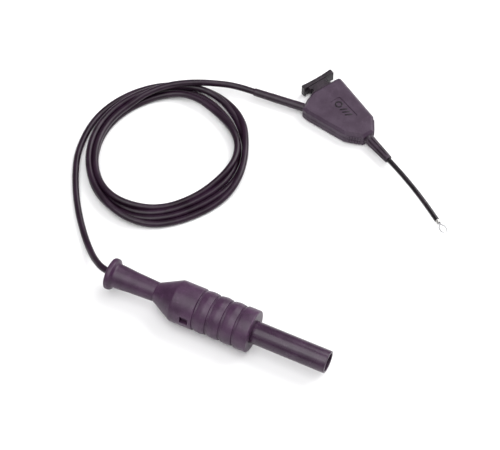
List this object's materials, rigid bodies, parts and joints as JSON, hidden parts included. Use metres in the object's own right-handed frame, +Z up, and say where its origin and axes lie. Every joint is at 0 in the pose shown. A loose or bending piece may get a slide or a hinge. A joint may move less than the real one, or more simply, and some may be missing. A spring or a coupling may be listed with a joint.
{
  "type": "test lead with micro clip and shrouded plug",
  "caption": "Coiled test lead: a flat spring-loaded micro clip with a thin bent stem and wire jaws, a limp cord, and a ribbed shrouded 4 mm plug.",
  "frame": {"origin": "centre of the flat underside of the clip's housing, on the table", "axes": "+X along the clip towards its jaws, +Z up, the cord leaves on the -Y side"},
  "size_m": [0.1386, 0.1214, 0.0148],
  "materials": {
    "clip_plastic": "satin moulded, fine grain",
    "collar_rubber": "soft, ribbed",
    "stem_plastic": "glossy tube",
    "cord_jacket": "limp jacket with a soft sheen",
    "sleeve_rubber": "satin moulded",
    "grip_plastic": "satin moulded, ring grooves",
    "shroud_plastic": "smooth moulded",
    "bright_steel": "bright plated wire",
    "spring_steel": "drawn wire",
    "brass": "stamped",
    "nickel": "nickel plated",
    "copper": "stranded"
  },
  "bodies": {
    "test_lead": {"clip_top_shell": "clip_plastic", "clip_bottom_shell": "clip_plastic", "nose_collar": "collar_rubber", "stem_tube": "stem_plastic", "tip_ferrule": "bright_steel", "return_spring": "spring_steel", "contact_strip": "brass", "cord_boot": "collar_rubber", "clip_cord_end": "cord_jacket", "clip_conductor": "copper", "cord_clip_lead": "cord_jacket", "cord_coil": "cord_jacket", "cord_plug_lead": "cord_jacket", "strain_relief": "sleeve_rubber", "plug_grip": "grip_plastic", "pin_carrier": "shroud_plastic", "plug_shroud": "shroud_plastic", "contact_pin": "nickel", "pin_lamella": "nickel", "cord_clamp_ring": "grip_plastic", "plug_cord_end": "cord_jacket", "plug_conductor": "copper"},
    "plunger": {"plunger": "clip_plastic", "wire_anchor": "brass", "drive_wire": "bright_steel"},
    "jaw_carrier": {"jaw_crimp": "bright_steel"},
    "jaw_left": {"jaw_left": "bright_steel"},
    "jaw_right": {"jaw_right": "bright_steel"}
  },
  "joints": [
    {"name": "plunger_press", "type": "slide", "parent": "test_lead", "child": "plunger", "axis": [1, 0, 0], "range_m": [0, 0.003], "stiffness_N_per_m": 250, "springref_m": -0.004, "deforming": ["return_spring", "drive_wire"]},
    {"name": "jaw_push", "type": "slide", "parent": "test_lead", "child": "jaw_carrier", "axis": [0.9888, -0.1495, 0], "range_m": [0, 0.003]},
    {"name": "jaw_left_spread", "type": "hinge", "parent": "jaw_carrier", "child": "jaw_left", "pos_m": [0.05807, -0.00264, 0.0029], "axis": [0, 0, 1], "range_deg": [0, 10]},
    {"name": "jaw_right_spread", "type": "hinge", "parent": "jaw_carrier", "child": "jaw_right", "pos_m": [0.05799, -0.00314, 0.0029], "axis": [0, 0, -1], "range_deg": [0, 10]}
  ],
  "couplings": [
    {"joint": "jaw_push", "follows": "plunger_press", "ratio": 1},
    {"joint": "jaw_left_spread", "follows": "plunger_press", "rad_per_m": 58.17},
    {"joint": "jaw_right_spread", "follows": "plunger_press", "rad_per_m": 58.17}
  ]
}
